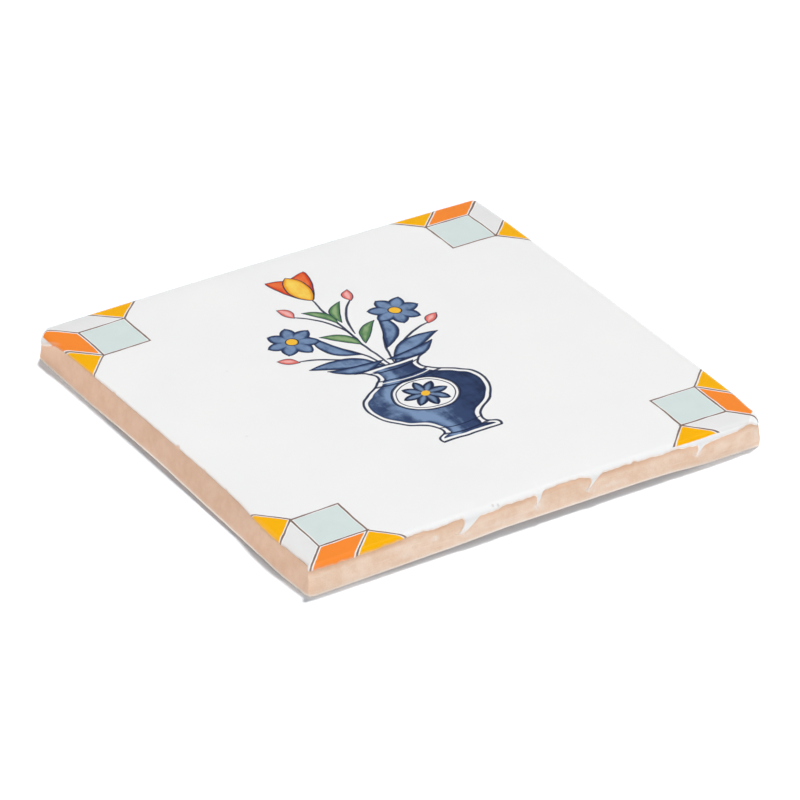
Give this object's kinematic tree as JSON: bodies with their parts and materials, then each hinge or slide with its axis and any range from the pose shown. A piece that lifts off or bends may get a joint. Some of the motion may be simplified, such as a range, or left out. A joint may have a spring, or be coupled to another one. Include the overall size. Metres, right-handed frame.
{
  "type": "delft tile",
  "caption": "Square glazed earthenware wall tile with a crowned white face, blue flower vase picture, corner star pattern and bare biscuit sides",
  "frame": {"origin": "Middle of the flat back, on the plane that the tile rests on.", "axes": "+Z out of the glazed face, +X along the foot of the picture, +Y towards the head of the picture."},
  "size_m": [0.1, 0.1, 0.0067],
  "materials": {
    "glazed_earthenware": "glossy white tin glaze over a pinkish buff biscuit body"
  },
  "bodies": {
    "root": {"tile": "glazed_earthenware"}
  },
  "joints": []
}
